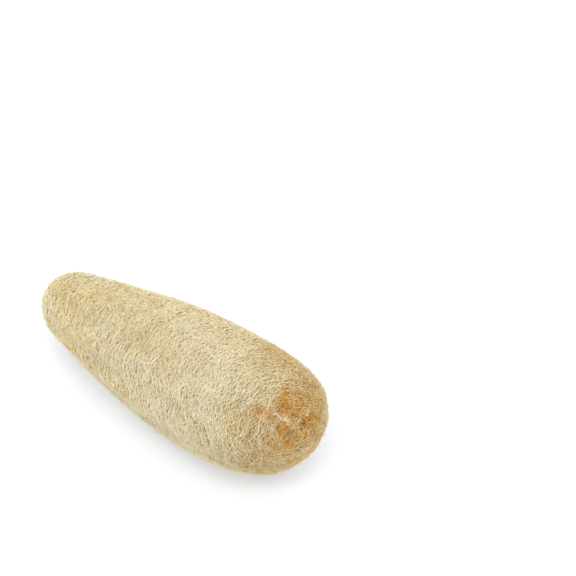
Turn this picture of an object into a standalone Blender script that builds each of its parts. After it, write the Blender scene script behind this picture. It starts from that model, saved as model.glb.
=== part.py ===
"""Natural loofah sponge: the dried fibre skeleton of a whole gourd, lying on its side.

The body grew as one piece, so it is one closed solid. Its narrow, blunt stem end
points along -X and its wide blossom end along +X. Fibres cross all over its skin as
a net. The net is drawn larger than life: each mesh of it is a shallow pit, and the
fibres between the pits are raised ridges. Underneath is the small flat that it lies on.
"""

import math

import bpy
import numpy as np
from mathutils import Vector, geometry

# The gourd's form, in metres. x runs from the stem end to the blossom end.
LENGTH = 0.314
HALF_THICKNESS = (0.0266, 0.0362, 0.0461, 0.0514, 0.0520, 0.0502)  # at equal steps along x
STEM_CAP = 0.0411  # length over which the stem end rounds off
STEM_BLUNTNESS = 2.5  # 2 is a half ellipse, more is blunter
BLOSSOM_CAP = 0.0669
BLOSSOM_BLUNTNESS = 3.2
BEND = 0.0007  # sideways bow of the centre line
SAG = 0.0012  # and its bow up at both ends
STEM_LEAN = math.radians(2.6)  # both ends are a little askew in plan
BLOSSOM_LEAN = math.radians(-12.4)
REST_TILT = math.radians(3.7)  # the narrow end comes down onto the surface

# Ribs, dents and the puckered ends.
RIBS = 9
RIB_HEIGHT = 0.0012
RIB_FADE = 0.09  # distance from the blossom end over which the ribs die out
SWELL = 0.008  # slow unevenness of the girth, as a share of the radius
STEM_PIT_RADIUS = 0.011
STEM_PIT_DEPTH = 0.0045
BLOSSOM_PIT_RADIUS = 0.012
BLOSSOM_PIT_DEPTH = 0.0030
PUCKER_HEIGHT = 0.0006
PUCKERS = 7

# The net.
STEP_ALONG = 0.0108  # spacing of the meshes along the body
STEP_ROUND = 0.0158  # and round its girth
UNEVENNESS = 0.5  # 0 gives a regular net
RIDGE_HEIGHT = 0.0010
RIDGE_FOOT = 0.34  # where a ridge's foot lies on the way from its crest to the mesh's middle
PIT_DEPTH = 0.0026
SEED = 41

# The flat underneath.
FLAT_DEPTH = 0.0030  # how far the round underside is pressed in
FLAT_FADE = 0.0040  # height over which the net's relief grows back

PERIOD = 1024.0  # one turn in the plane where the net is laid out


def smooth_step(t):
    """0 below 0, 1 above 1, with a soft start and end."""
    t = np.clip(t, 0.0, 1.0)
    return t * t * (3.0 - 2.0 * t)


def profile():
    """Distance along the skin from the stem end's middle, x and radius."""
    steps = np.linspace(0.0, LENGTH, len(HALF_THICKNESS))
    curve = np.polyfit(steps, HALF_THICKNESS, 4)
    turn = np.linspace(math.pi / 2, 0.0, 400)
    stem_x = STEM_CAP * (1.0 - np.sin(turn) ** (2.0 / STEM_BLUNTNESS))
    stem_r = np.polyval(curve, stem_x) * np.maximum(np.cos(turn), 0.0) ** (2.0 / STEM_BLUNTNESS)
    mid_x = np.linspace(STEM_CAP, LENGTH - BLOSSOM_CAP, 400)[1:-1]
    turn = turn[::-1]
    end_x = LENGTH - BLOSSOM_CAP * (1.0 - np.sin(turn) ** (2.0 / BLOSSOM_BLUNTNESS))
    end_r = np.polyval(curve, end_x) * np.maximum(np.cos(turn), 0.0) ** (2.0 / BLOSSOM_BLUNTNESS)
    x = np.concatenate([stem_x, mid_x, end_x])
    r = np.concatenate([stem_r, np.polyval(curve, mid_x), end_r])
    r[0] = 0.0
    r[-1] = 0.0
    first = x < LENGTH / 2
    pit = np.where(
        first,
        STEM_PIT_DEPTH * np.exp(-((r / STEM_PIT_RADIUS) ** 2)),
        -BLOSSOM_PIT_DEPTH * np.exp(-((r / BLOSSOM_PIT_RADIUS) ** 2)),
    )
    x = x + pit
    s = np.concatenate([[0.0], np.cumsum(np.hypot(np.diff(x), np.diff(r)))])
    return s, x, r


S, X, R = profile()
TOTAL = S[-1]
SPREAD = np.concatenate(
    [[0.0], np.cumsum(np.diff(S) / np.maximum((R[1:] + R[:-1]) / 2, 1e-5))]
)  # the height of each point where the skin is laid out flat without distortion


def skin(s, turn, lift):
    """Points of the skin, raised by lift along its normal."""
    e = 1e-4
    across = bare_skin(s, turn + e * 50) - bare_skin(s, turn - e * 50)
    along = bare_skin(np.minimum(s + e, TOTAL), turn) - bare_skin(np.maximum(s - e, 0.0), turn)
    normal = np.cross(across, along)
    size = np.linalg.norm(normal, axis=1, keepdims=True)
    at_end = (s < e) | (s > TOTAL - e)
    normal = normal / np.maximum(size, 1e-12)
    point = bare_skin(s, turn)
    normal[at_end] = end_normals(s[at_end])
    return point + normal * lift[:, None]


def end_normals(s):
    """The skin's normal in the middle of either end."""
    out = np.zeros((len(s), 3))
    tilt = np.where(s > TOTAL / 2, 1.0, -1.0)
    lean = np.where(s > TOTAL / 2, lean_at(LENGTH), lean_at(0.0))
    out[:, 0] = tilt * np.cos(lean)
    out[:, 1] = tilt * np.sin(lean)
    return tip_down(out)


def lean_at(x):
    """How far the cross-section at x is turned in plan."""
    u = 2.0 * x / LENGTH - 1.0
    ends = BLOSSOM_LEAN * np.clip(u, 0.0, 1.0) ** 2 + STEM_LEAN * np.clip(-u, 0.0, 1.0) ** 2
    return np.arctan(4.0 * BEND * u / LENGTH) + ends


def tip_down(p):
    """Turns points so that the narrow end comes down."""
    c = math.cos(REST_TILT)
    s = math.sin(REST_TILT)
    return np.stack([c * p[:, 0] - s * p[:, 2], p[:, 1], s * p[:, 0] + c * p[:, 2]], 1)


def bare_skin(s, turn):
    """Points of the gourd's form without the net."""
    x = np.interp(s, S, X)
    r = np.interp(s, S, R)
    body = smooth_step((r - 0.020) / 0.022)
    ribs = RIB_HEIGHT * np.cos(RIBS * turn + 0.9 * np.sin(2.0 * turn) + 3.0 * x / LENGTH)
    ribs = ribs * (0.3 + 0.7 * smooth_step((LENGTH - x) / RIB_FADE))
    slow = np.sin(2.0 * turn + 9.0 * x / LENGTH) + 0.7 * np.sin(3.0 * turn - 14.0 * x / LENGTH)
    near_end = smooth_step(r / 0.008) * (1.0 - smooth_step((r - 0.014) / 0.014))
    pucker = PUCKER_HEIGHT * near_end * np.cos(PUCKERS * turn + 0.8 * np.sin(3.0 * turn))
    x = x + np.where(s > TOTAL / 2, 1.0, -1.0) * pucker
    r = r + body * (ribs + SWELL * r * slow)
    u = 2.0 * x / LENGTH - 1.0
    lean = lean_at(x)
    y = r * np.cos(turn)
    z = r * np.sin(turn) + SAG * (u * u - 1 / 3)
    p = np.stack([x - LENGTH / 2 - np.sin(lean) * y, BEND * (u * u - 1 / 3) + np.cos(lean) * y, z], 1)
    return tip_down(p)


def meshes(rng):
    """The middles of the net's meshes: distance along the skin and turn, in turns."""
    rows = int(round(TOTAL / STEP_ALONG))
    s = [np.zeros(1)]
    turn = [np.zeros(1)]
    for k in range(1, rows):
        middle = k * TOTAL / rows
        count = max(5, int(round(2.0 * math.pi * np.interp(middle, S, R) / STEP_ROUND)))
        wander = UNEVENNESS * (rng.random(count) - 0.5)
        turn.append(((np.arange(count) + wander) / count + rng.random()) % 1.0)
        inner = 1.0 if 1 < k < rows - 1 else 0.0
        s.append(middle + inner * UNEVENNESS * STEP_ALONG * (rng.random(count) - 0.5))
    s.append(np.full(1, TOTAL))
    turn.append(np.zeros(1))
    return s, turn


def joined(s_rows, turn_rows):
    """Triangles over the meshes' middles, each with its corners' distances and turns."""
    s = np.concatenate(s_rows)
    turn = np.concatenate(turn_rows)
    inner = np.arange(1, len(s) - 1)
    column = np.round(turn[inner] * PERIOD * 1024) / 1024
    height = np.round(np.interp(s[inner], S, SPREAD) / (2.0 * math.pi) * PERIOD * 1024) / 1024
    number = np.concatenate([inner, inner, inner])
    columns = np.concatenate([column, column - PERIOD, column + PERIOD])
    heights = np.concatenate([height, height, height])
    near = (columns > -PERIOD / 2) & (columns < PERIOD * 1.5)
    number = number[near]
    columns = columns[near]
    heights = heights[near]
    points = [Vector((a, b)) for a, b in zip(columns.tolist(), heights.tolist())]
    result = geometry.delaunay_2d_cdt(points, [], [], 0, 1e-6)
    came_from = np.array([o[0] for o in result[3]])
    faces = came_from[np.array([tuple(f) for f in result[2]])]
    middle = columns[faces].mean(1)
    faces = faces[(middle >= 0.0) & (middle < PERIOD)]
    corner = number[faces]
    corner_turn = columns[faces] / PERIOD
    corner_s = s[corner]
    for pole, row in ((0, 1), (len(s) - 1, len(s_rows) - 2)):
        first = sum(len(a) for a in s_rows[:row])
        order = np.argsort(turn_rows[row])
        t = turn_rows[row][order]
        t_next = np.append(t[1:], t[0] + 1.0)
        a = first + order
        b = np.roll(a, -1)
        middle_turn = (t + t_next) / 2
        top = pole != 0
        sites = [a, b, np.full(len(a), pole)] if top else [b, a, np.full(len(a), pole)]
        turns = [t, t_next, middle_turn] if top else [t_next, t, middle_turn]
        corner = np.concatenate([corner, np.stack(sites, 1)])
        corner_turn = np.concatenate([corner_turn, np.stack(turns, 1)])
        corner_s = np.concatenate([corner_s, np.stack([s[a], s[b], np.full(len(a), s[pole])], 1)])
    return s, turn, corner, corner_s, corner_turn


def net_faces(corner, sites):
    """For each mesh and each ridge beside it: one side of the ridge and a piece of the pit.

    The points are the meshes' middles, then the knots where three ridges meet (one for
    each triangle) and then the feet of the ridges (one for each corner of a triangle).
    """
    a = corner.ravel()
    b = np.roll(corner, -1, axis=1).ravel()
    place = np.arange(len(a))
    many = sites + 1
    forward = a * many + b
    order = np.argsort(forward)
    twin = order[np.searchsorted(forward[order], b * many + a)]
    twin_corner = twin - twin % 3 + (twin + 1) % 3
    knot = sites + place // 3
    twin_knot = sites + twin // 3
    feet = sites + len(corner)
    foot = feet + place
    twin_foot = feet + twin_corner
    return np.concatenate(
        [
            np.stack([a, twin_foot, foot], 1),
            np.stack([twin_foot, twin_knot, knot], 1),
            np.stack([twin_foot, knot, foot], 1),
        ]
    )


def build():
    rng = np.random.default_rng(SEED)
    s_rows, turn_rows = meshes(rng)
    s, turn, corner, corner_s, corner_turn = joined(s_rows, turn_rows)
    knot_s = corner_s.mean(1)
    knot_turn = corner_turn.mean(1)
    foot_s = knot_s[:, None] + RIDGE_FOOT * (corner_s - knot_s[:, None])
    foot_turn = knot_turn[:, None] + RIDGE_FOOT * (corner_turn - knot_turn[:, None])
    all_s = np.concatenate([s, knot_s, foot_s.ravel()])
    all_turn = np.concatenate([turn, knot_turn, foot_turn.ravel()]) * 2.0 * math.pi
    depth = PIT_DEPTH * (0.8 + 0.4 * rng.random(len(s)))
    ridges = RIDGE_HEIGHT * (0.4 + 1.2 * rng.random(len(knot_s)))
    relief = np.concatenate([-depth, ridges, -0.85 * depth[corner.ravel()]])
    bare = bare_skin(all_s, all_turn)
    floor = bare[:, 2].min() + FLAT_DEPTH
    grown = smooth_step((bare[:, 2] - floor) / FLAT_FADE)
    points = skin(all_s, all_turn, relief * grown)
    points[:, 2] = np.where(bare[:, 2] <= floor, 0.0, np.maximum(points[:, 2] - floor, 0.0))
    low = points.min(0)
    high = points.max(0)
    points[:, 0] -= (low[0] + high[0]) / 2
    points[:, 1] -= (low[1] + high[1]) / 2

    faces = net_faces(corner, len(s))
    mesh = bpy.data.meshes.new("loofah")
    mesh.from_pydata(points.tolist(), [], faces.tolist())
    mesh.validate()
    mesh.update()
    return mesh


def fibre():
    """Dry, pale straw-coloured plant fibre."""
    mat = bpy.data.materials.new("loofah_fibre")
    mat.use_nodes = True
    shader = mat.node_tree.nodes["Principled BSDF"]
    shader.inputs["Base Color"].default_value = (0.658, 0.546, 0.337, 1.0)
    shader.inputs["Roughness"].default_value = 0.85
    return mat


for old in list(bpy.data.objects):
    bpy.data.objects.remove(old)

body = bpy.data.objects.new("loofah", build())
body.data.materials.append(fibre())
body.data.shade_smooth()
bpy.context.scene.collection.objects.link(body)
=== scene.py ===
import math

import bpy
import numpy as np
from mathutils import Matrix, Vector, geometry


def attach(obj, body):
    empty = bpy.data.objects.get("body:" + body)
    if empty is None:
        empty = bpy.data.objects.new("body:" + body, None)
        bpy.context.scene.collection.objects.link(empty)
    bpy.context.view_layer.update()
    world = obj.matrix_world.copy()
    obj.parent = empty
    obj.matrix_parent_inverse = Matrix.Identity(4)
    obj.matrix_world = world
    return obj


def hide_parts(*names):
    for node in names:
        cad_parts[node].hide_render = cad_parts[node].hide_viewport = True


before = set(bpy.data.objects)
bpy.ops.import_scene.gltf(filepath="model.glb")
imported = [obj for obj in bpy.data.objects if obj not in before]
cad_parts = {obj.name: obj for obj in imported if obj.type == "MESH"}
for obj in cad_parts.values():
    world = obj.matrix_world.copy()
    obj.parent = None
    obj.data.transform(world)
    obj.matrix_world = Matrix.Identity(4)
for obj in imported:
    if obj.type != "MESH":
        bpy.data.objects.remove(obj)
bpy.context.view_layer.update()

# A dried loofah: the fibre skeleton of a gourd. Its skin is a net of pale wavy fibres that
# run mostly round the girth. Under it lie a net that runs lengthwise, a coarser net and a
# felt of tangled fibre. Sizes are in metres and angles in radians, unless a name or comment
# says otherwise. s is the distance along the skin from the stem end's middle.

FULL_TURN = 2.0 * math.pi
MM = 1000.0  # millimetres in a metre
TINY = 1e-12  # keeps a division by a length from failing

# The gourd's form, the same as in the part. x runs from the stem end to the blossom end.
LENGTH = 0.314
HALF_THICKNESS = (0.0266, 0.0362, 0.0461, 0.0514, 0.0520, 0.0502)  # at equal steps along x
PROFILE_DEGREE = 4  # of the curve through them
PROFILE_POINTS = 400  # on either end, and on the body between them
LEAST_RADIUS = 1e-5  # where radii are divided by, at the ends' middles
STEM_CAP = 0.0411  # length over which the stem end rounds off
STEM_BLUNTNESS = 2.5  # 2 is a half ellipse, more is blunter
BLOSSOM_CAP = 0.0669
BLOSSOM_BLUNTNESS = 3.2
BEND = 0.0007  # sideways bow of the centre line
SAG = 0.0012  # and its bow up at both ends
STEM_LEAN = math.radians(2.6)  # both ends are a little askew in plan
BLOSSOM_LEAN = math.radians(-12.4)
REST_TILT = math.radians(3.7)  # the narrow end comes down onto the surface
FLAT_DEPTH = 0.0030  # how far the round underside is pressed in

# Ribs, the girth's slow swell, and the puckered pits at both ends
BODY_START = 0.020  # radius where ribs and swell begin
BODY_RISE = 0.022  # and how much wider the gourd is where they are whole
RIBS = 9
RIB_HEIGHT = 0.0012
RIB_SWAY = 0.9  # how unevenly they are spread round the girth
RIB_TWIST = 3.0  # how far their waves shift from end to end
RIB_LEFT = 0.3  # share of their height that is left at the blossom end
RIB_FADE = 0.09  # distance from the blossom end over which they die out
SWELL = 0.008  # share of the radius
SWELL_WAVES = ((2.0, 9.0, 1.0), (3.0, -14.0, 0.7))  # waves round, shift from end to end, weight
STEM_PIT_RADIUS = 0.011
STEM_PIT_DEPTH = 0.0045
BLOSSOM_PIT_RADIUS = 0.012
BLOSSOM_PIT_DEPTH = 0.0030
PUCKERS = 7
PUCKER_HEIGHT = 0.0006
PUCKER_SWAY = 0.8
PUCKER_RISE = 0.008  # radius where they are whole
PUCKER_FADE = 0.014  # radius where they start to die out, and over which they do

# Where the form lies is measured on a grid of points along and round it, which starts a
# little way off its ends' middles
FORM_POINTS = (300, 240)
FORM_GAP = 0.0005

NORMAL_STEP = 1e-4  # how far apart points are that give the skin's normal
NORMAL_TURN = 50 * NORMAL_STEP

# Folds of the blossom scar, over the gourd's form: their two ends, half width and height, in
# millimetres. The ends are places on the skin laid flat, from the blossom end's middle.
SCAR_FOLDS = (
    (-17.0, 25.0, -1.0, 8.0, 2.4, 1.3),
    (-10.0, 27.0, 4.0, 11.5, 2.2, -1.1),
    (-2.0, 12.0, 9.5, 1.5, 1.7, -1.5),
    (-7.6, -2.2, -6.6, -0.6, 2.0, -1.3),
    (-5.4, -8.8, -4.7, -29.0, 2.2, -0.7),
    (0.5, 3.0, 11.0, -9.0, 3.0, 0.8),
    (-19.0, -2.0, -12.0, 6.0, 2.5, 0.7),
)

# Patches where the skin is more open (above 0) or felted over (below 0) than elsewhere. Each
# has its distance from the stem end along the skin, its turn in degrees, its reach and its
# strength.
OPEN_PATCHES = (
    (0.3290, 169.0, 0.014, 0.60),
    (0.3160, 140.0, 0.016, 0.32),
    (0.3180, 116.0, 0.013, 0.20),
    (0.3400, 205.0, 0.010, 0.25),
    (0.3150, 218.0, 0.022, 0.50),
    (0.3480, 300.0, 0.012, 0.25),
    (0.1775, 138.0, 0.008, 0.35),
    (0.1970, 159.0, 0.010, 0.30),
    (0.1410, 64.0, 0.036, -0.40),
    (0.2060, 72.0, 0.040, -0.50),
    (0.2700, 90.0, 0.040, -0.50),
    (0.2500, 190.0, 0.036, 0.12),
    (0.2600, 280.0, 0.050, -0.20),
    (0.1500, 10.0, 0.030, 0.20),
    (0.2500, 350.0, 0.030, 0.20),
)
OPENNESS = 0.42  # of the skin outside those patches, on average
OPENNESS_LUMPS = ((0.022, 0.10), (0.008, 0.12))  # size and height of its uneven areas
OPENNESS_SEED = 21


def smooth_step(t):
    """0 below 0, 1 above 1, with a soft start and end."""
    t = np.clip(t, 0.0, 1.0)
    return t * t * (3.0 - 2.0 * t)


def between(limits, size, rng):
    """Random numbers between two limits."""
    return limits[0] + (limits[1] - limits[0]) * rng.random(size)


def unit(vectors):
    """Vectors made one long."""
    return vectors / np.maximum(np.linalg.norm(vectors, axis=-1, keepdims=True), TINY)


def profile():
    """Distance along the skin from the stem end's middle, x and radius."""
    steps = np.linspace(0.0, LENGTH, len(HALF_THICKNESS))
    curve = np.polyfit(steps, HALF_THICKNESS, PROFILE_DEGREE)
    turn = np.linspace(math.pi / 2, 0.0, PROFILE_POINTS)
    stem_x = STEM_CAP * (1.0 - np.sin(turn) ** (2.0 / STEM_BLUNTNESS))
    stem_r = np.polyval(curve, stem_x) * np.maximum(np.cos(turn), 0.0) ** (2.0 / STEM_BLUNTNESS)
    mid_x = np.linspace(STEM_CAP, LENGTH - BLOSSOM_CAP, PROFILE_POINTS)[1:-1]
    turn = turn[::-1]
    end_x = LENGTH - BLOSSOM_CAP * (1.0 - np.sin(turn) ** (2.0 / BLOSSOM_BLUNTNESS))
    end_r = np.polyval(curve, end_x) * np.maximum(np.cos(turn), 0.0) ** (2.0 / BLOSSOM_BLUNTNESS)
    x = np.concatenate([stem_x, mid_x, end_x])
    r = np.concatenate([stem_r, np.polyval(curve, mid_x), end_r])
    r[0] = 0.0
    r[-1] = 0.0
    pit = np.where(
        x < LENGTH / 2,
        STEM_PIT_DEPTH * np.exp(-((r / STEM_PIT_RADIUS) ** 2)),
        -BLOSSOM_PIT_DEPTH * np.exp(-((r / BLOSSOM_PIT_RADIUS) ** 2)),
    )
    x = x + pit
    s = np.concatenate([[0.0], np.cumsum(np.hypot(np.diff(x), np.diff(r)))])
    return s, x, r


S, X, R = profile()
TOTAL = S[-1]
MEAN_R = (R[1:] + R[:-1]) / 2
# The height of each point of the profile where the skin is laid out flat without distortion
SPREAD = np.concatenate([[0.0], np.cumsum(np.diff(S) / np.maximum(MEAN_R, LEAST_RADIUS))])


def lean_at(x):
    """How far the cross-section at x is turned in plan."""
    u = 2.0 * x / LENGTH - 1.0
    ends = BLOSSOM_LEAN * np.clip(u, 0.0, 1.0) ** 2 + STEM_LEAN * np.clip(-u, 0.0, 1.0) ** 2
    return np.arctan(4.0 * BEND * u / LENGTH) + ends


def tip_down(p):
    """Turns points so that the narrow end comes down."""
    c = math.cos(REST_TILT)
    s = math.sin(REST_TILT)
    return np.stack([c * p[:, 0] - s * p[:, 2], p[:, 1], s * p[:, 0] + c * p[:, 2]], 1)


def bare_skin(s, turn):
    """Points of the gourd's form without its fibres."""
    x = np.interp(s, S, X)
    r = np.interp(s, S, R)
    ribs = RIB_HEIGHT * np.cos(RIBS * turn + RIB_SWAY * np.sin(2.0 * turn) + RIB_TWIST * x / LENGTH)
    ribs *= RIB_LEFT + (1.0 - RIB_LEFT) * smooth_step((LENGTH - x) / RIB_FADE)
    swell = sum(weight * np.sin(waves * turn + twist * x / LENGTH) for waves, twist, weight in SWELL_WAVES)
    near_end = smooth_step(r / PUCKER_RISE) * (1.0 - smooth_step((r - PUCKER_FADE) / PUCKER_FADE))
    pucker = PUCKER_HEIGHT * near_end * np.cos(PUCKERS * turn + PUCKER_SWAY * np.sin(3.0 * turn))
    x = x + np.where(s > TOTAL / 2, 1.0, -1.0) * pucker
    r = r + smooth_step((r - BODY_START) / BODY_RISE) * (ribs + SWELL * r * swell)
    u = 2.0 * x / LENGTH - 1.0
    bow = u * u - 1 / 3  # which is nothing on average
    lean = lean_at(x)
    y = r * np.cos(turn)
    z = r * np.sin(turn) + SAG * bow
    return tip_down(np.stack([x - LENGTH / 2 - np.sin(lean) * y, BEND * bow + np.cos(lean) * y, z], 1))


def place_of_form():
    """What to take off the form's points so that it lies on the floor, centred as the part is."""
    s, turn = np.meshgrid(
        np.linspace(FORM_GAP, TOTAL - FORM_GAP, FORM_POINTS[0]), np.linspace(0.0, FULL_TURN, FORM_POINTS[1])
    )
    p = bare_skin(s.ravel(), turn.ravel())
    low = p.min(0)
    high = p.max(0)
    return np.array([(low[0] + high[0]) / 2, (low[1] + high[1]) / 2, low[2] + FLAT_DEPTH])


SHIFT = place_of_form()


def scar_relief(s, turn):
    """Height of the blossom scar's folds over the gourd's form."""
    u = (TOTAL - s) * np.cos(turn) * MM
    v = (TOTAL - s) * np.sin(turn) * MM
    height = np.zeros(len(s))
    for u0, v0, u1, v1, width, rise in SCAR_FOLDS:
        length = (u1 - u0) ** 2 + (v1 - v0) ** 2
        along = np.clip(((u - u0) * (u1 - u0) + (v - v0) * (v1 - v0)) / length, 0.0, 1.0)
        away = np.hypot(u - u0 - along * (u1 - u0), v - v0 - along * (v1 - v0))
        height += rise / MM * np.exp(-((away / width) ** 2))
    return height


def skin(s, turn, lift):
    """Points of the skin raised by lift, and the skin's normals there."""
    s = np.clip(s, 2 * NORMAL_STEP, TOTAL - 2 * NORMAL_STEP)
    across = bare_skin(s, turn + NORMAL_TURN) - bare_skin(s, turn - NORMAL_TURN)
    along = bare_skin(s + NORMAL_STEP, turn) - bare_skin(s - NORMAL_STEP, turn)
    normal = unit(np.cross(across, along))
    return bare_skin(s, turn) - SHIFT + normal * (lift + scar_relief(s, turn))[:, None], normal


def on_skin(s, turn):
    """Points of the skin itself."""
    return skin(s, turn, np.zeros(len(s)))[0]


def middles(patches):
    """The middles of patches of the skin."""
    return on_skin(np.array([patch[0] for patch in patches]), np.radians([patch[1] for patch in patches]))


LUMP_WAVES = 28
LUMP_SPREAD = (0.6, 1.5)  # of the waves' lengths, as shares of the lumps' size


def lumps(p, size, rng):
    """A smooth random field of about unit height whose lumps are about size across."""
    way = rng.normal(size=(LUMP_WAVES, 3))
    way /= np.linalg.norm(way, axis=1, keepdims=True)
    way *= FULL_TURN / (size * between(LUMP_SPREAD, (LUMP_WAVES, 1), rng))
    phase = rng.random(LUMP_WAVES) * FULL_TURN
    return np.sin(p @ way.T + phase).sum(1) * math.sqrt(2.0 / LUMP_WAVES)


def openness(p):
    """How open the skin is at points: 0 where it is felted over, 1 where its holes show."""
    rng = np.random.default_rng(OPENNESS_SEED)
    level = np.full(len(p), OPENNESS)
    for size, height in OPENNESS_LUMPS:
        level += height * lumps(p, size, rng)
    for middle, (_, _, reach, strength) in zip(middles(OPEN_PATCHES), OPEN_PATCHES):
        level += strength * np.exp(-((p - middle) ** 2).sum(1) / reach**2)
    return np.clip(level, 0.0, 1.0)


# How a net's meshes lie: in rows round the girth, which sway along the gourd
UNEVENNESS = 0.9  # of the meshes in a row, as a share of their spacing
ROW_UNEVENNESS = 0.65 * UNEVENNESS  # how far they stray from it, as a share of the rows' spacing
FEWEST_IN_ROW = 5
ROW_SWAY = 0.8  # share of the rows' spacing
SLOW_SWAY = 0.6  # share of the sway that has few waves to a turn
SLOW_WAVES = 3.0
SLOW_SHIFT = 5.0  # how far those move to and fro, and over what length of the gourd
SLOW_LENGTH = 0.03
FAST_SWAY = 0.4  # share that has more waves, which move one way
FAST_WAVES = 7.0
FAST_LENGTH = 0.011
CALM_ROWS = 4.0  # next to either end, over which the rows start to sway

# A net is laid out flat to find its strands, with copies of its edges on either side
PERIOD = 1024.0  # one turn
SNAP = 1024  # points are rounded to 1 / SNAP, so that copies match to the last digit
EDGE = 0.08  # how much of a turn is copied
EDGE_AT_END = 0.5  # and how much is, this near to either end of the gourd
END_REACH = 0.02
MERGE = 1e-6  # points nearer than this would be one
TRIANGLES = 0  # asks for triangles that fill the points' hull


def meshes(step_along, step_round, rng):
    """The middles of a net's meshes: distance along the skin and turn, in turns."""
    rows = int(round(TOTAL / step_along))
    s = [np.zeros(1)]
    turn = [np.zeros(1)]
    for k in range(1, rows):
        middle = k * TOTAL / rows
        count = max(FEWEST_IN_ROW, int(round(FULL_TURN * np.interp(middle, S, R) / step_round)))
        wander = UNEVENNESS * (rng.random(count) - 0.5)
        turn.append(((np.arange(count) + wander) / count + rng.random()) % 1.0)
        shift = SLOW_SHIFT * math.sin(middle / SLOW_LENGTH)
        sway = SLOW_SWAY * np.sin(SLOW_WAVES * FULL_TURN * turn[-1] + shift)
        sway += FAST_SWAY * np.sin(FAST_WAVES * FULL_TURN * turn[-1] - middle / FAST_LENGTH)
        stray = ROW_UNEVENNESS * step_along * (rng.random(count) - 0.5)
        inner = smooth_step(min(k - 1, rows - 1 - k) / CALM_ROWS)
        s.append(middle + inner * (sway * ROW_SWAY * step_along + stray))
    s.append(np.full(1, TOTAL))
    turn.append(np.zeros(1))
    return s, turn


def knots(spacing, rng):
    """A net's knots, each in the middle of three meshes: their s, turn and meshes' numbers."""
    step_along, step_round = spacing
    s_rows, turn_rows = meshes(step_along, step_round, rng)
    s = np.concatenate(s_rows)
    turn = np.concatenate(turn_rows)
    inner = np.arange(1, len(s) - 1)
    column = np.round(turn[inner] * PERIOD * SNAP) / SNAP
    height = np.interp(s[inner], S, SPREAD) / FULL_TURN * PERIOD * step_round / step_along
    height = np.round(height * SNAP) / SNAP
    number = np.tile(inner, 3)
    columns = np.concatenate([column, column - PERIOD, column + PERIOD])
    heights = np.tile(height, 3)
    at_end = (s[number] < END_REACH) | (s[number] > TOTAL - END_REACH)
    edge = np.where(at_end, EDGE_AT_END, EDGE) * PERIOD
    near = (columns > -edge) & (columns < PERIOD + edge)
    number = number[near]
    columns = columns[near]
    points = [Vector(point) for point in zip(columns.tolist(), heights[near].tolist())]
    _, _, faces, came_from, _, _ = geometry.delaunay_2d_cdt(points, [], [], TRIANGLES, MERGE)
    came_from = np.array([origin[0] for origin in came_from])
    faces = came_from[np.array([tuple(face) for face in faces])]
    middle = columns[faces].mean(1)
    faces = faces[(middle >= 0.0) & (middle < PERIOD)]
    corner = number[faces]
    return s[corner].mean(1), columns[faces].mean(1) / PERIOD, corner


def net(spacing, rng):
    """A net's knots and strands: knots' s and turn, and strands' two knots and step in turn.

    The strands are the borders between neighbouring meshes, which are longer the way that
    the middles are further apart. spacing is that of the middles along the gourd and round it.
    """
    knot_s, knot_turn, corner = knots(spacing, rng)
    a = corner.ravel()
    b = np.roll(corner, -1, axis=1).ravel()
    many = corner.max() + 1
    forward = a * many + b
    order = np.argsort(forward)
    place = np.minimum(np.searchsorted(forward[order], b * many + a), len(order) - 1)
    twin = order[place]
    paired = (forward[twin] == b * many + a) & (a < b)
    one = np.nonzero(paired)[0] // 3
    two = twin[paired] // 3
    step = (knot_turn[two] - knot_turn[one] + 0.5) % 1.0 - 0.5
    return knot_s, knot_turn, one, two, step


def add_mesh(name, points, quads, material):
    """Adds a piece of the loofah from its points and four-sided faces."""
    mesh = bpy.data.meshes.new(name)
    mesh.vertices.add(len(points))
    mesh.vertices.foreach_set("co", points.astype(np.float32).ravel())
    mesh.loops.add(quads.size)
    mesh.loops.foreach_set("vertex_index", quads.astype(np.int32).ravel())
    mesh.polygons.add(len(quads))
    mesh.polygons.foreach_set("loop_start", np.arange(0, quads.size, 4, dtype=np.int32))
    mesh.polygons.foreach_set("use_smooth", np.ones(len(quads), dtype=bool))
    mesh.update(calc_edges=True)
    mesh.validate()
    mesh.materials.append(material)
    piece = bpy.data.objects.new(name, mesh)
    bpy.context.scene.collection.objects.link(piece)
    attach(piece, "root")
    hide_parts("loofah")


FIBRE_SIDES = 3
OVER_FLOOR = 1.02  # a fibre's middle stays this many radii over the floor


def strands(lines, radii, up, rng):
    """Points and faces of three-sided fibres along lines.

    lines and up are (fibres, points, 3) and radii is (fibres, points).
    """
    many, count = radii.shape
    lines = lines.copy()
    lines[:, :, 2] = np.maximum(lines[:, :, 2], radii * OVER_FLOOR)
    way = unit(np.gradient(lines, axis=1))
    side = unit(np.cross(way, up))
    top = np.cross(side, way)
    roll = rng.random(many) * FULL_TURN / FIBRE_SIDES
    rings = []
    for corner in range(FIBRE_SIDES):
        turn = roll + corner * FULL_TURN / FIBRE_SIDES
        out = np.cos(turn)[:, None, None] * side + np.sin(turn)[:, None, None] * top
        rings.append(lines + out * radii[:, :, None])
    points = np.stack(rings, 2).reshape(-1, 3)
    points[:, 2] = np.maximum(points[:, 2], 0.0)
    base = (np.arange(many)[:, None] * count + np.arange(count - 1)[None, :]) * FIBRE_SIDES
    quads = []
    for corner in range(FIBRE_SIDES):
        after = (corner + 1) % FIBRE_SIDES
        far = base + FIBRE_SIDES
        quads.append(np.stack([base + corner, base + after, far + after, far + corner], 2))
    return points, np.stack(quads, 2).reshape(-1, 4)


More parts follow.
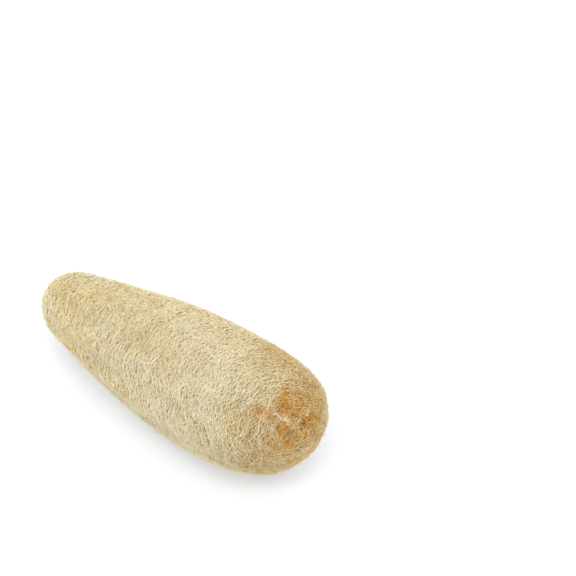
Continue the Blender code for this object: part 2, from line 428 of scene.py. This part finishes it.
# What all the nets have in common. A strand's way round is 1 where it runs round the girth and
# 0 where it runs lengthwise.
WHOLE = 0.98  # share of the strands round the girth that are there
LACK_LENGTHWISE = 0.15  # how many more lengthwise ones are missing
LACK_OPEN = 0.30  # and how many more of those where the skin is open
FELTED_RELIEF = 0.25  # share of the unevenness that is left where the skin is felted over
LEVEL_OPENNESS = 0.4  # where a layer neither sinks nor rises
LUMP_SIZE = 0.016
LEVEL_ROUND = 0.6  # way round of a strand that neither arches nor dips
STRAND_SWING = 0.18  # how far a strand bows aside, as a share of its length
SHORT_STRAND = 0.0013  # strands shorter than this are straight
LENGTHWISE_SHARE = 0.70  # thickness of a lengthwise strand, as a share of the net's own
ROUND_EXTRA = 0.55  # what is added to that round the girth,
OPEN_LESS = 0.30  # taken off where the skin is open,
UNEVEN_THICKNESS = 0.28  # and left to chance
KNOT_EXTRA = 0.15  # how much thicker strands are at their knots
LEAST_LENGTH = 1e-6  # of a strand and of the girth, where they are divided by
LEAST_GIRTH = 1e-3


def fibre_net(
    name, material, *, seed, parts, segments, spacing, lift, rough, lumpy, dip, sink, thin, thickness
):
    """One layer of the loofah's net, as one piece for each of the parts of its length.

    spacing is that of its meshes along the gourd and round it, and segments is how many each
    strand has. The layer is lift over the skin, with knots that are uneven by rough singly and
    by lumpy in wide lumps. dip is the difference between how far up strands round the girth
    bow and how far down lengthwise ones do. Where the skin is open, the layer lies deeper by
    sink and lacks more strands by thin.
    """
    rng = np.random.default_rng(seed)
    knot_s, knot_turn, one, two, step = net(spacing, rng)
    girth = np.interp(knot_s[one], S, R) * FULL_TURN
    length = np.maximum(np.hypot(knot_s[two] - knot_s[one], step * girth), LEAST_LENGTH)
    way_round = np.abs(step) * girth / length
    rest = on_skin(knot_s, knot_turn * FULL_TURN)
    open_ = openness(rest)
    lacking = (LACK_LENGTHWISE + LACK_OPEN * open_[one]) * (1.0 - way_round)
    kept = rng.random(len(one)) < WHOLE - lacking - thin * open_[one]
    one, two, step, girth, length, way_round = (
        value[kept] for value in (one, two, step, girth, length, way_round)
    )
    unevenness = rough * rng.normal(size=len(knot_s)) + lumpy * lumps(rest, LUMP_SIZE, rng)
    knot_lift = lift + unevenness * (FELTED_RELIEF + open_) - sink * (open_ - LEVEL_OPENNESS)
    short = length < SHORT_STRAND
    girth = girth[:, None]
    length = length[:, None]
    s0 = knot_s[one][:, None]
    ds = (knot_s[two] - knot_s[one])[:, None]
    middle = (s0 + ds / 2)[:, 0] / TOTAL
    swing = rng.normal(size=(len(one), 1)) * STRAND_SWING * length
    arch = rng.normal(size=(len(one), 1)) * rough + dip * (way_round[:, None] - LEVEL_ROUND)
    arch *= (FELTED_RELIEF + open_[one])[:, None]
    share = LENGTHWISE_SHARE + ROUND_EXTRA * way_round - OPEN_LESS * open_[one]
    r = thickness / 2 * (share + UNEVEN_THICKNESS * (rng.random(len(one)) - 0.5))
    across_s = step[:, None] * girth / length
    across_girth = -ds / length
    for k in range(parts):
        points = []
        quads = []
        for count, some in ((1, short), (segments, ~short)):
            mine = some & (middle * parts >= k) & (middle * parts < k + 1)
            t = np.linspace(0.0, 1.0, count + 1)
            hump = np.sin(math.pi * t)[None, :]
            bow = hump * swing[mine]
            s = s0[mine] + ds[mine] * t + bow * across_s[mine]
            turn = knot_turn[one][mine][:, None] + step[mine][:, None] * t
            turn = turn + bow * across_girth[mine] / np.maximum(girth[mine], LEAST_GIRTH)
            over = knot_lift[one][mine][:, None] * (1 - t) + knot_lift[two][mine][:, None] * t
            over = over + hump * arch[mine]
            p, up = skin(s.ravel(), turn.ravel() * FULL_TURN, over.ravel())
            shape = (-1, count + 1, 3)
            radii = r[mine][:, None] * (1.0 + KNOT_EXTRA - KNOT_EXTRA * hump)
            more_points, more_quads = strands(p.reshape(shape), radii, up.reshape(shape), rng)
            quads.append(more_quads + sum(len(before) for before in points))
            points.append(more_points)
        label = name if parts == 1 else f"{name}_{k + 1}"
        add_mesh(label, np.concatenate(points), np.concatenate(quads), material)


def scattered(many, rng, *, gap, spare, felted_share, open_gain):
    """Up to many places over the skin, gap away from its ends' middles: s, turn and openness.

    They lie as densely at the ends as elsewhere, and by spare more so. felted_share of them
    are kept where the skin is felted over (all, from 1 up), and open_gain more where it is open.
    """
    s = gap + rng.random(3 * many) * (TOTAL - 2.0 * gap)
    s = s[rng.random(len(s)) < np.interp(s, S, R) / R.max() + spare]
    turn = rng.random(len(s)) * FULL_TURN
    open_ = openness(on_skin(s, turn))
    kept = np.nonzero(rng.random(len(s)) < felted_share + open_gain * open_)[0][:many]
    return s[kept], turn[kept], open_[kept]


# Wavy fibres that run round the girth over the skin's net
GIRTH_FIBRES = 1700
GIRTH_POINTS = 8
GIRTH_STEP = 0.0018  # between a fibre's points
GIRTH_STEP_SPREAD = (0.7, 1.3)
GIRTH_WAVE_HEIGHT = (0.0005, 0.0015)
GIRTH_WAVE_LENGTH = (0.007, 0.015)
GIRTH_SLOPE = 0.35  # how far they stray from the way round
GIRTH_LIFT = 0.00035
GIRTH_BOB = 0.0003  # how far they rise and dip, in waves shorter than the sideways ones
GIRTH_BOB_LENGTH = 0.7  # as a share of those
GIRTH_RADIUS = 0.00027
GIRTH_RADIUS_SPREAD = (0.75, 1.25)
GIRTH_TIP = 0.35  # share of the radius at the tips, and what each further point adds
GIRTH_TAPER = 0.4
GIRTH_GAP = 0.003  # they stay so far from the ends' middles
GIRTH_LEAST_RADIUS = 0.004  # of the gourd, where they turn no faster


def girth_fibres(material, seed):
    """Wavy fibres that lie over the skin's net and run round the girth."""
    rng = np.random.default_rng(seed)
    s0, turn0, _ = scattered(
        GIRTH_FIBRES, rng, gap=0.004, spare=0.0, felted_share=0.15, open_gain=1.3
    )
    one_each = (len(s0), 1)
    step = GIRTH_STEP * between(GIRTH_STEP_SPREAD, one_each, rng)
    number = np.arange(GIRTH_POINTS)
    t = number * step
    wave = between(GIRTH_WAVE_HEIGHT, one_each, rng)
    pace = between(GIRTH_WAVE_LENGTH, one_each, rng)
    phase = rng.random(one_each) * FULL_TURN
    slope = rng.normal(size=one_each) * GIRTH_SLOPE
    s = s0[:, None] + slope * t + wave * np.sin(FULL_TURN * t / pace + phase)
    s = np.clip(s, GIRTH_GAP, TOTAL - GIRTH_GAP)
    heading = np.where(rng.random(one_each) < 0.5, 1.0, -1.0)
    speed = step / np.maximum(np.interp(s, S, R), GIRTH_LEAST_RADIUS)
    turn = turn0[:, None] + heading * np.cumsum(speed, 1)
    over = GIRTH_LIFT + GIRTH_BOB * np.sin(FULL_TURN * t / (pace * GIRTH_BOB_LENGTH) + 2.0 * phase)
    p, up = skin(s.ravel(), turn.ravel(), over.ravel())
    from_tip = np.minimum(number, GIRTH_POINTS - 1 - number)
    r = GIRTH_RADIUS * between(GIRTH_RADIUS_SPREAD, one_each, rng)
    r = r * np.minimum(1.0, GIRTH_TIP + GIRTH_TAPER * from_tip)
    shape = (len(s0), GIRTH_POINTS, 3)
    add_mesh("girth_fibres", *strands(p.reshape(shape), r, up.reshape(shape), rng), material)


# Short broken fibres
LOOSE_ENDS = 13500
LOOSE_LENGTH = (0.0016, 0.0046)
LOOSE_LIFT = 0.0001
LOOSE_AHEAD = 0.02  # turn to the point ahead that gives the way round
LOOSE_VEER = 0.7  # how far they stray from the way round
LOOSE_RISE = 0.9  # the steepest one's angle off the skin; a power makes most of them flatter
LOOSE_RISE_POWER = 1.5
LOOSE_RISE_FELTED = 0.35  # share of it where the skin is felted over, and what open skin adds
LOOSE_RISE_OPEN = 1.2
LOOSE_CURL = 0.12  # how far their tips bend up or down, as a share of their length
LOOSE_RADIUS = 0.00017
LOOSE_RADIUS_SPREAD = (0.7, 1.3)
LOOSE_TAPER = (1.0, 0.85, 0.35)  # share of the radius at the root, middle and tip


def loose_ends(material, seed):
    """Short broken fibres that stand off the skin and roughen its outline."""
    rng = np.random.default_rng(seed)
    s0, turn0, open_ = scattered(
        LOOSE_ENDS, rng, gap=0.0, spare=0.08, felted_share=1.15, open_gain=-1.0
    )
    many = len(s0)
    root, up = skin(s0, turn0, np.full(many, LOOSE_LIFT))
    ahead, _ = skin(s0, turn0 + LOOSE_AHEAD, np.full(many, LOOSE_LIFT))
    way = unit(ahead - root)
    side = np.cross(up, way)
    veer = rng.normal(size=many) * LOOSE_VEER + np.where(rng.random(many) < 0.5, 0.0, math.pi)
    flat = np.cos(veer)[:, None] * way + np.sin(veer)[:, None] * side
    rise = rng.random(many) ** LOOSE_RISE_POWER * LOOSE_RISE
    rise = (rise * (LOOSE_RISE_FELTED + LOOSE_RISE_OPEN * open_))[:, None]
    size = between(LOOSE_LENGTH, many, rng)[:, None]
    t = np.linspace(0.0, 1.0, len(LOOSE_TAPER))
    out = (np.sin(rise) * t + LOOSE_CURL * rng.normal(size=(many, 1)) * t * t) * size
    far = np.cos(rise) * t * size
    p = root[:, None, :] + far[:, :, None] * flat[:, None, :] + out[:, :, None] * up[:, None, :]
    r = LOOSE_RADIUS * between(LOOSE_RADIUS_SPREAD, (many, 1), rng) * np.array([LOOSE_TAPER])
    up = np.repeat(up[:, None, :], len(LOOSE_TAPER), 1)
    add_mesh("loose_ends", *strands(p, r, up, rng), material)


# Tufts of bleached fibre on the scar's folds: place and heading in degrees, half length and
# half width of the tuft, how many fibres it has and how much they curl. Lengths are in
# millimetres on the skin laid flat, as for the folds.
TUFTS = (
    (-14.5, 22.2, -47.0, 1.8, 0.9, 8, 0.9),
    (-11.5, 19.0, -48.0, 2.0, 1.2, 12, 0.9),
    (-8.0, 15.2, -47.0, 2.0, 1.1, 13, 0.9),
    (-5.2, 12.0, -52.0, 1.6, 0.9, 8, 0.9),
    (6.1, 14.7, 0.0, 0.8, 0.5, 3, 1.2),
    (10.0, 12.4, -30.0, 1.0, 0.5, 5, 1.2),
    (3.3, 5.1, 80.0, 0.8, 0.6, 4, 1.2),
    (10.7, -4.8, 20.0, 0.8, 0.6, 3, 1.2),
)
CURL_POINTS = 9
CURL_LENGTH = (2.5, 5.5)  # millimetres
CURL_VEER = 0.35  # how far its heading strays from the tuft's, as a share of its curl
CURL_LIFT = 0.0002
CURL_ARCH = 0.0006
CURL_RADIUS = 0.00025
CURL_RADIUS_SPREAD = (0.8, 1.3)


def scar_curls(material, seed):
    """Bleached fibres in tufts on the folds of the blossom scar."""
    rng = np.random.default_rng(seed)
    t = np.linspace(0.0, 1.0, CURL_POINTS)[None, :]
    hump = np.sin(math.pi * t)
    each = np.repeat(TUFTS, [tuft[5] for tuft in TUFTS], axis=0)
    u0, v0, heading, long, wide, _, curl = each.T[:, :, None]
    one_each = (len(each), 1)
    heading = np.radians(heading)
    step = between(CURL_LENGTH, one_each, rng) / CURL_POINTS
    way = heading + curl * (CURL_VEER * rng.normal(size=one_each) + rng.normal(size=one_each) * t)
    ahead = long * rng.normal(size=one_each)
    aside = wide * rng.normal(size=one_each)
    u = u0 + ahead * np.cos(heading) - aside * np.sin(heading) + np.cumsum(np.cos(way), 1) * step
    v = v0 + ahead * np.sin(heading) + aside * np.cos(heading) + np.cumsum(np.sin(way), 1) * step
    s = TOTAL - np.hypot(u, v) / MM
    over = CURL_LIFT + CURL_ARCH * hump * rng.random(one_each)
    p, up = skin(s.ravel(), np.arctan2(v, u).ravel(), over.ravel())
    r = CURL_RADIUS * between(CURL_RADIUS_SPREAD, one_each, rng) * (0.5 + 0.5 * hump**0.5)
    shape = (len(each), CURL_POINTS, 3)
    add_mesh("scar_curls", *strands(p.reshape(shape), r, up.reshape(shape), rng), material)


# The felt under the nets
FELT_ALONG = 240  # points along it and round it
FELT_ROUND = 140
FELT_GAP = 0.0015  # from the ends' middles, where it is open
FELT_LIFT = -0.0016
FELT_SINK = 0.0028  # how much deeper it lies where the skin is open
FELT_LUMPS = (0.005, 0.011)
FELT_LUMP_HEIGHT = 0.00036
FELT_OVER_FLOOR = 0.0012


def felt_core(material, seed):
    """The tangled mass under the nets: a lumpy surface with a small opening at either end."""
    rng = np.random.default_rng(seed)
    s = np.linspace(FELT_GAP, TOTAL - FELT_GAP, FELT_ALONG)
    turn = np.arange(FELT_ROUND) / FELT_ROUND * FULL_TURN
    s, turn = (grid.ravel() for grid in np.meshgrid(s, turn, indexing="ij"))
    rest = on_skin(s, turn)
    lumpiness = sum(lumps(rest, size, rng) for size in FELT_LUMPS)
    p, _ = skin(s, turn, FELT_LIFT + FELT_LUMP_HEIGHT * lumpiness - FELT_SINK * openness(rest))
    p[:, 2] = np.maximum(p[:, 2], FELT_OVER_FLOOR)
    grid = np.arange(len(p)).reshape(FELT_ALONG, FELT_ROUND)
    after = np.roll(grid, -1, axis=1)
    quads = np.stack([grid[:-1], after[:-1], after[1:], grid[1:]], 2).reshape(-1, 4)
    add_mesh("felt_core", p, quads, material)


def to_linear(colour):
    """An sRGB hex value as linear red, green, blue and full alpha."""
    parts = [int(colour[i : i + 2], 16) / 255 for i in (1, 3, 5)]
    return [c / 12.92 if c <= 0.04045 else ((c + 0.055) / 1.055) ** 2.4 for c in parts] + [1.0]


def add_node(material, kind, settings=None, inputs=None):
    """Adds a node. settings are its own values; inputs are sockets to set or to link to."""
    tree = material.node_tree
    node = tree.nodes.new(kind)
    for key, value in (settings or {}).items():
        setattr(node, key, value)
    for key, value in (inputs or {}).items():
        if isinstance(value, bpy.types.NodeSocket):
            tree.links.new(value, node.inputs[key])
        else:
            node.inputs[key].default_value = value
    return node


def new_material(name):
    """A material without any nodes yet."""
    material = bpy.data.materials.new(name)
    material.use_nodes = True
    material.node_tree.nodes.clear()
    return material


# Blotches of colour, given as the open patches are
# Pale patches: partly the fibre's own bleached tone and partly painted light, as on the upper side that
# faces the camera and the soft lamp
BLEACHED_AND_LIT = (
    (0.2400, 168.0, 0.062, 0.75),
    (0.1900, 150.0, 0.040, 0.25),
    (0.2700, 120.0, 0.042, 0.60),
    (0.2800, 155.0, 0.040, 0.80),
    (0.3060, 122.0, 0.030, 0.80),
    (0.2550, 195.0, 0.040, 0.70),
    (0.2000, 320.0, 0.050, 0.50),
    (0.1200, 20.0, 0.035, 0.40),
)
# Warm tan drifts: partly the fibre's own tone and partly painted shade, as on the blossom end's lower rim
# and in the streak near the top of the stem half
WARM_DRIFTS_AND_SHADE = (
    (0.3360, 40.0, 0.034, 0.75),
    (0.3300, 325.0, 0.034, 0.75),
    (0.2900, 58.0, 0.038, 0.60),
    (0.3400, 200.0, 0.020, 0.45),
    (0.1130, 118.0, 0.018, 0.15),
    (0.3330, 238.0, 0.040, 0.50),
    (0.3350, 285.0, 0.034, 0.80),
    (0.3640, 10.0, 0.036, 0.80),
    (0.3300, 160.0, 0.018, 0.40),
)
SCAR = (
    (0.3403, 104.0, 0.0100, 1.0),
    (0.3340, 94.0, 0.0100, 0.85),
    (0.3445, 78.0, 0.0110, 0.95),
    (0.3490, 20.0, 0.0110, 0.90),
    (0.3530, 340.0, 0.0080, 0.70),
    (0.3276, 135.0, 0.0070, 0.70),
    (0.3361, 133.0, 0.0070, 0.70),
    (0.3530, 155.0, 0.0090, 0.95),
    (0.3475, 195.0, 0.0090, 0.55),
    (0.3529, 236.0, 0.0075, 0.90),
)
SPECKS = (
    (0.3545, 24.0, 0.0030, 0.9),
    (0.3571, 194.0, 0.0018, 0.7),
    (0.3530, 62.0, 0.0020, 0.6),
)

# How a blotch fades, in shares of its reach: how far noise moves its edge, and how far inside
# and outside that it is whole and gone
BLOTCH_RAGGEDNESS = 2.6
BLOTCH_WHOLE = -1.2
BLOTCH_GONE = 0.05

# Sizes of the fibre's patterns, in millimetres. Real fibre has a grain of under 0.1 mm along
# it, which wouldn't show, so the grain is drawn coarser.
DRIFT_SIZE = 26.0
RAGGED_SIZE = 7.5
SPECKLE_SIZE = 3.2
GRAIN_SIZE = 0.9
GRAIN_HEIGHT = 0.3
DRIFT_STRETCH = 0.45  # drifts are this many times shorter across the gourd than along it


def blotched(material, place, wander, blotches):
    """How strongly blotches colour a place; wander is the noise that makes them ragged."""
    most = None
    for middle, (_, _, reach, strength) in zip(middles(blotches).tolist(), blotches):
        away = add_node(material, "ShaderNodeVectorMath", {"operation": "DISTANCE"}, {0: place, 1: middle})
        ragged = add_node(
            material,
            "ShaderNodeMath",
            {"operation": "MULTIPLY_ADD"},
            {0: wander, 1: -BLOTCH_RAGGEDNESS * reach, 2: away.outputs["Value"]},
        )
        blotch = add_node(
            material,
            "ShaderNodeMapRange",
            {"interpolation_type": "SMOOTHSTEP"},
            {
                "Value": ragged.outputs[0],
                "From Min": BLOTCH_WHOLE * reach,
                "From Max": BLOTCH_GONE * reach,
                "To Min": strength,
                "To Max": 0.0,
            },
        ).outputs[0]
        if most is None:
            most = blotch
        else:
            both = {0: most, 1: blotch}
            most = add_node(material, "ShaderNodeMath", {"operation": "MAXIMUM"}, both).outputs[0]
    return most


def dried_fibre(name, *, straw, tan, stains, roughness):
    """Dried gourd fibre: the flesh rotted off in water, then washed and bleached by the sun.

    It is woody and matt. Its straw colour wanders between a pale and a yellower one in drifts
    along the gourd, with tan speckles where bits of flesh dried on. Over that lie ragged
    blotches: some are stains where the gourd was bruised or lay wet, and some are painted
    shade and painted light. straw is the pair of pale colours, and stains are colours with
    the blotches that they fill.
    """
    material = new_material(name)
    place = add_node(material, "ShaderNodeTexCoord").outputs["Object"]
    stretched = add_node(
        material,
        "ShaderNodeMapping",
        {"vector_type": "POINT"},
        {"Vector": place, "Scale": (DRIFT_STRETCH, 1.0, 1.0)},
    )
    noises = []
    for vector, size, detail, rough in (
        (stretched.outputs[0], DRIFT_SIZE, 3.0, 0.6),
        (place, SPECKLE_SIZE, 2.0, 0.6),
        (place, RAGGED_SIZE, 4.0, 0.7),
        (place, GRAIN_SIZE, 2.0, 0.5),
    ):
        sockets = {"Vector": vector, "Scale": MM / size, "Detail": detail, "Roughness": rough}
        noises.append(add_node(material, "ShaderNodeTexNoise", inputs=sockets).outputs["Fac"])
    drift, speckle, wander, grain = noises
    shares = []
    for noise, low, high, least, most, ease in (
        (drift, 0.32, 0.74, 0.0, 1.0, "LINEAR"),
        (speckle, 0.36, 0.66, 0.0, 0.48, "LINEAR"),
        (wander, 0.58, 0.74, 0.0, 0.40, "SMOOTHSTEP"),
        (speckle, 0.36, 0.60, 0.6, 1.0, "LINEAR"),
    ):
        sockets = {"Value": noise, "From Min": low, "From Max": high, "To Min": least, "To Max": most}
        share = add_node(material, "ShaderNodeMapRange", {"interpolation_type": ease}, sockets)
        shares.append(share.outputs[0])
    drifting, speckled, flecked, streaks = shares
    coats = [(drifting, straw[1]), (speckled, tan), (flecked, tan)]
    for stain, blotches in stains:
        both = {0: blotched(material, place, wander, blotches), 1: streaks}
        streaked = add_node(material, "ShaderNodeMath", {"operation": "MULTIPLY"}, both)
        coats.append((streaked.outputs[0], stain))
    colour = to_linear(straw[0])
    for share, coat in coats:
        sockets = {"Factor": share, "A": colour, "B": to_linear(coat)}
        colour = add_node(material, "ShaderNodeMix", {"data_type": "RGBA"}, sockets).outputs["Result"]
    relief = add_node(
        material,
        "ShaderNodeBump",
        inputs={"Height": grain, "Strength": 0.35, "Distance": GRAIN_HEIGHT / MM},
    )
    shader = add_node(
        material,
        "ShaderNodeBsdfPrincipled",
        inputs={
            "Base Color": colour,
            "Roughness": roughness,
            "Specular IOR Level": 0.3,
            "Normal": relief.outputs["Normal"],
        },
    )
    add_node(material, "ShaderNodeOutputMaterial", inputs={"Surface": shader.outputs["BSDF"]})
    return material


# The open patches, where the fibre under the skin is painted darker: painted shade in the skin's holes
open_patches_painted_shade = [patch for patch in OPEN_PATCHES if patch[3] > 0.0]

# The skin's own fibre, which the sun reached: the palest
skin_fibre = dried_fibre(
    "dried_fibre_pale",
    straw=("#F8F0D5", "#F3E2AC"),
    tan="#E0CB96",
    stains=(
        ("#F8F0D1", BLEACHED_AND_LIT),
        ("#DFB967", WARM_DRIFTS_AND_SHADE),
        ("#E0A43A", SCAR),
        ("#B67A30", SPECKS),
    ),
    roughness=0.7,
)
# Fibre just under it: a little yellower, and olive in the open patches, which is painted shade where holes
# in the skin show it
under_fibre = dried_fibre(
    "dried_fibre_under",
    straw=("#EFE4C2", "#E8D7A0"),
    tan="#D3BB7E",
    stains=(
        ("#EEE5CE", BLEACHED_AND_LIT),
        ("#BC9F59", open_patches_painted_shade),
        ("#D0A755", WARM_DRIFTS_AND_SHADE),
        ("#D69830", SCAR),
        ("#9A6426", SPECKS),
    ),
    roughness=0.75,
)
# Fibre deep inside, which no sun bleached. Its browns are partly its own colour and partly painted shade
# among the nets, darkest in the open patches, where they are painted shade in the skin's holes
deep_fibre_and_shade = dried_fibre(
    "dried_fibre_deep_and_shade",
    straw=("#D2BF8B", "#C6AD6F"),
    tan="#A08349",
    stains=(
        ("#6E5A28", open_patches_painted_shade),
        ("#B88C48", WARM_DRIFTS_AND_SHADE),
        ("#B67A24", SCAR),
        ("#643C16", SPECKS),
    ),
    roughness=0.8,
)
# Broken fibre that stands up from the scar, washed paler and smoother than what it lies on
bleached_fibre = dried_fibre(
    "bleached_fibre", straw=("#F4ECD2", "#EEE2BE"), tan="#E0D0A2", stains=(), roughness=0.6
)

# The loofah's layers, from the skin inwards
fibre_net(
    "skin_net",
    skin_fibre,
    seed=11,
    parts=4,
    segments=2,
    spacing=(0.0016, 0.0042),
    lift=0.0001,
    rough=0.00024,
    lumpy=0.0002,
    dip=0.0006,
    sink=0.0,
    thin=0.0,
    thickness=0.00048,
)
girth_fibres(skin_fibre, seed=12)
loose_ends(skin_fibre, seed=13)
scar_curls(bleached_fibre, seed=17)
fibre_net(
    "lengthwise_net",
    under_fibre,
    seed=14,
    parts=2,
    segments=1,
    spacing=(0.0036, 0.0024),
    lift=-0.0009,
    rough=0.00022,
    lumpy=0.0003,
    dip=-0.0003,
    sink=0.0018,
    thin=0.35,
    thickness=0.00060,
)
fibre_net(
    "inner_net",
    deep_fibre_and_shade,
    seed=15,
    parts=1,
    segments=1,
    spacing=(0.0034, 0.0050),
    lift=-0.0020,
    rough=0.0003,
    lumpy=0.0005,
    dip=0.0,
    sink=0.0020,
    thin=0.30,
    thickness=0.00080,
)
felt_core(deep_fibre_and_shade, seed=16)

# The surface that it lies on: painted board, plain, white, matt and brightly lit
HALF_FLOOR = 3.0
floor_mesh = bpy.data.meshes.new("floor")
corners = [(x * HALF_FLOOR, y * HALF_FLOOR, 0.0) for x, y in ((-1, -1), (1, -1), (1, 1), (-1, 1))]
floor_mesh.from_pydata(corners, [], [(0, 1, 2, 3)])
white_board = new_material("white_board")
paint = add_node(
    white_board,
    "ShaderNodeBsdfPrincipled",
    inputs={
        "Base Color": to_linear("#C0C2C6"),
        "Roughness": 0.9,
        "Specular IOR Level": 0.1,
        "Emission Color": to_linear("#F8FBFF"),
        "Emission Strength": 0.42,
    },
)
add_node(white_board, "ShaderNodeOutputMaterial", inputs={"Surface": paint.outputs["BSDF"]})
floor_mesh.materials.append(white_board)
floor = bpy.data.objects.new("floor", floor_mesh)
bpy.context.scene.collection.objects.link(floor)

# The camera, fitted to the gourd's outline. It looks at a place that is AIM_RIGHT and AIM_UP
# from the form's middle, in its own directions. VIEW_DROP is how much lower the finished form
# lies than the one that it was fitted to.
VIEW_AZIMUTH = math.radians(47.4)
VIEW_ELEVATION = math.radians(32.0)
DISTANCE = 1.4
AIM_RIGHT = 0.1009
AIM_UP = 0.1032
VIEW_DROP = 0.0009
FOCAL_PIXELS = 1659.6
PHOTO_PIXELS = 576
SENSOR_MM = 36.0
UP = np.array([0.0, 0.0, 1.0])
flat_back = np.array([math.sin(VIEW_AZIMUTH), -math.cos(VIEW_AZIMUTH), 0.0])
back = math.cos(VIEW_ELEVATION) * flat_back + math.sin(VIEW_ELEVATION) * UP
right = np.array([math.cos(VIEW_AZIMUTH), math.sin(VIEW_AZIMUTH), 0.0])
above = np.cross(back, right)


def looking(way_back):
    """The turn of a lamp or camera that looks against way_back."""
    return Vector(way_back).to_track_quat("Z", "Y").to_euler()


camera_data = bpy.data.cameras.new("camera")
camera_data.sensor_fit = "HORIZONTAL"
camera_data.sensor_width = SENSOR_MM
camera_data.lens = FOCAL_PIXELS / PHOTO_PIXELS * SENSOR_MM
camera_data.clip_end = 20.0
camera = bpy.data.objects.new("camera", camera_data)
aim = right * AIM_RIGHT + above * AIM_UP - (SHIFT[0], SHIFT[1], FLAT_DEPTH + VIEW_DROP)
camera.location = aim + back * DISTANCE
camera.rotation_euler = looking(back)
bpy.context.scene.collection.objects.link(camera)
bpy.context.scene.camera = camera

# Light: a white room, one broad soft lamp from above the camera and a weak one from behind
WHITE_ROOM = 0.80
world = bpy.data.worlds.new("white_room")
bpy.context.scene.world = world
world.use_nodes = True
room = world.node_tree.nodes["Background"]
room.inputs["Color"].default_value = (1.0, 1.0, 1.0, 1.0)
room.inputs["Strength"].default_value = WHITE_ROOM


def add_lamp(name, energy, degrees, way_back):
    """A distant lamp, degrees across, that shines from way_back."""
    lamp = bpy.data.lights.new(name, "SUN")
    lamp.energy = energy
    lamp.angle = math.radians(degrees)
    lamp_object = bpy.data.objects.new(name, lamp)
    lamp_object.rotation_euler = looking(way_back)
    bpy.context.scene.collection.objects.link(lamp_object)


add_lamp("soft_lamp", 1.90, 50.0, -0.06 * right + 0.46 * UP + 0.71 * back)
add_lamp("fill_lamp", 0.45, 70.0, -0.10 * right + 0.75 * UP - 0.85 * back)

bpy.context.scene.view_settings.view_transform = "Standard"
bpy.context.scene.view_settings.look = "None"
